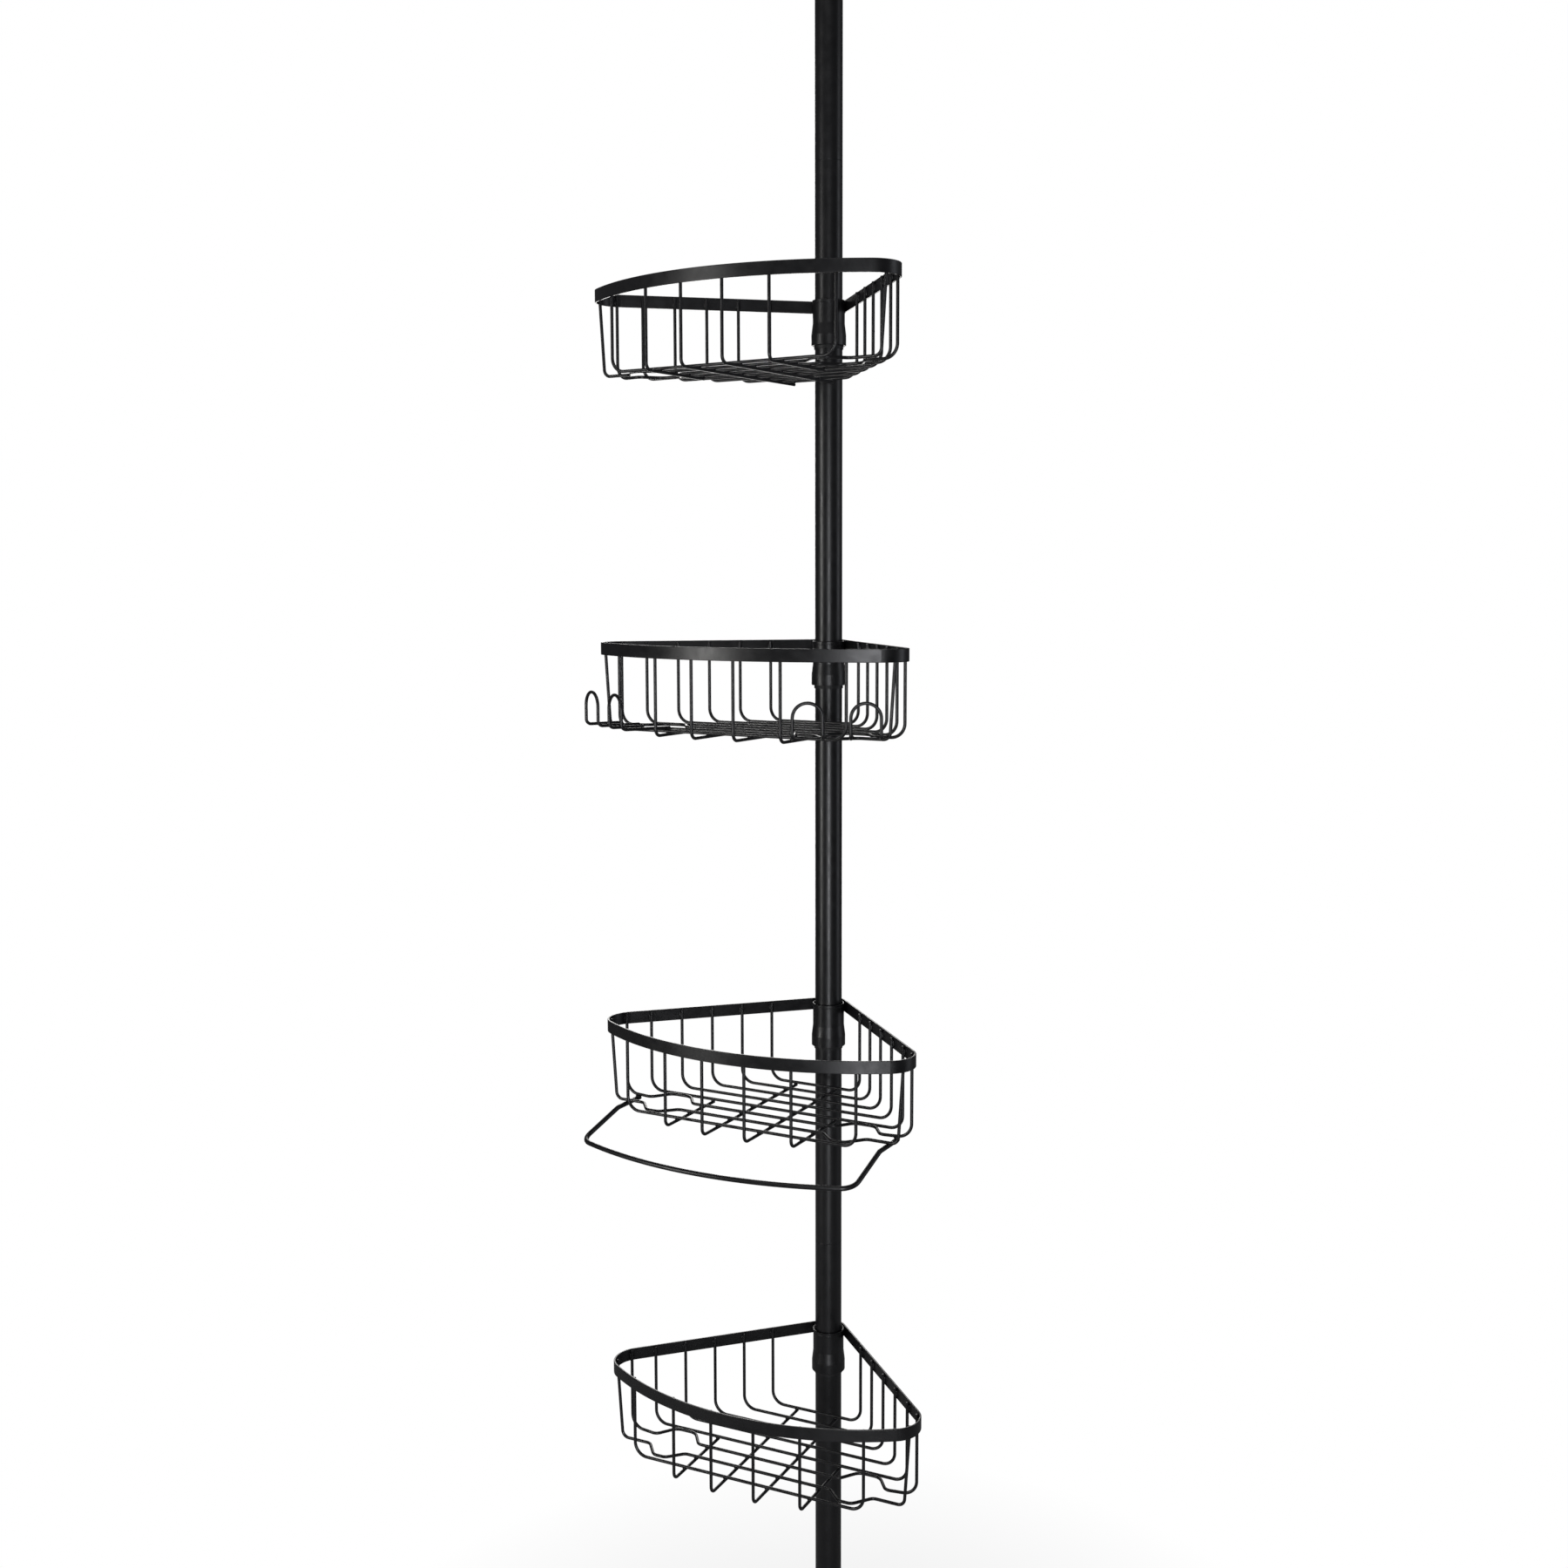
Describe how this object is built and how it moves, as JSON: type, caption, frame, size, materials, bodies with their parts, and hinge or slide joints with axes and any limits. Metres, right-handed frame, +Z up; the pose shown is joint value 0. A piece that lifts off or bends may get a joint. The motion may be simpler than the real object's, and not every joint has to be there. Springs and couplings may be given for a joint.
{
  "type": "shower caddy",
  "caption": "Tall tension-pole corner caddy with stacked quarter-round wire baskets that slide and swivel, bottle loops, hooks and a towel bar.",
  "frame": {"origin": "on the pole's axis at the underside of the floor foot", "axes": "+Z up along the pole; the room corner is behind the pole at +Y; the baskets' curved fronts face -Y; +X is to the right seen from the front"},
  "size_m": [0.3181, 0.2644, 2.1484],
  "materials": {
    "black_coating": "satin black powder coat",
    "black_plastic": "fine moulded matte",
    "black_rubber": "matte",
    "bare_steel": "drawn wire"
  },
  "bodies": {
    "pole": {"floor_foot": "black_rubber", "floor_plug": "black_plastic", "tube_1": "black_coating", "tube_2": "black_coating", "tube_3": "black_coating", "tube_4": "black_coating", "joint_spigot_1": "black_plastic", "joint_spigot_2": "black_plastic", "joint_spigot_3": "black_plastic", "guide_bush": "black_plastic", "spring_seat": "black_plastic", "seat_pin": "bare_steel", "pole_spring": "bare_steel"},
    "plunger": {"plunger_stop": "black_plastic", "plunger_tube": "black_coating", "plunger_plug": "black_plastic", "ceiling_foot": "black_rubber"},
    "collet_1": {"collet_front_1": "black_plastic", "collet_back_1": "black_plastic"},
    "basket_1": {"rim_band_1": "black_coating", "sleeve_1": "black_coating", "cross_wires_1": "black_coating", "loop_wires_1": "black_coating", "front_wires_1": "black_coating"},
    "collet_2": {"collet_front_2": "black_plastic", "collet_back_2": "black_plastic"},
    "basket_2": {"rim_band_2": "black_coating", "sleeve_2": "black_coating", "cross_wires_2": "black_coating", "loop_wires_2": "black_coating", "front_wires_2": "black_coating", "hooks": "black_coating"},
    "collet_3": {"collet_front_3": "black_plastic", "collet_back_3": "black_plastic"},
    "basket_3": {"rim_band_3": "black_coating", "sleeve_3": "black_coating", "cross_wires_3": "black_coating", "loop_wires_3": "black_coating", "front_wires_3": "black_coating", "towel_bar": "black_coating"},
    "collet_4": {"collet_front_4": "black_plastic", "collet_back_4": "black_plastic"},
    "basket_4": {"rim_band_4": "black_coating", "sleeve_4": "black_coating", "cross_wires_4": "black_coating", "loop_wires_4": "black_coating", "front_wires_4": "black_coating"}
  },
  "joints": [
    {"name": "plunger_slide", "type": "slide", "parent": "pole", "child": "plunger", "axis": [0, 0, 1], "range_m": [-0.045, 0], "stiffness_N_per_m": 2500, "springref_m": 0.02, "deforming": ["pole_spring"]},
    {"name": "basket_1_height", "type": "slide", "parent": "pole", "child": "collet_1", "axis": [0, 0, 1], "range_m": [-0.2, 0.55]},
    {"name": "basket_1_swivel", "type": "hinge", "parent": "collet_1", "child": "basket_1", "pos_m": [0, 0, 1.3874], "axis": [0, 0, 1], "continuous": true},
    {"name": "basket_2_height", "type": "slide", "parent": "pole", "child": "collet_2", "axis": [0, 0, 1], "range_m": [-0.23, 0.2]},
    {"name": "basket_2_swivel", "type": "hinge", "parent": "collet_2", "child": "basket_2", "pos_m": [0, 0, 1.08], "axis": [0, 0, 1], "continuous": true},
    {"name": "basket_3_height", "type": "slide", "parent": "pole", "child": "collet_3", "axis": [0, 0, 1], "range_m": [-0.2, 0.23]},
    {"name": "basket_3_swivel", "type": "hinge", "parent": "collet_3", "child": "basket_3", "pos_m": [0, 0, 0.7398], "axis": [0, 0, 1], "continuous": true},
    {"name": "basket_4_height", "type": "slide", "parent": "pole", "child": "collet_4", "axis": [0, 0, 1], "range_m": [-0.3, 0.2]},
    {"name": "basket_4_swivel", "type": "hinge", "parent": "collet_4", "child": "basket_4", "pos_m": [0, 0, 0.42], "axis": [0, 0, 1], "continuous": true}
  ]
}
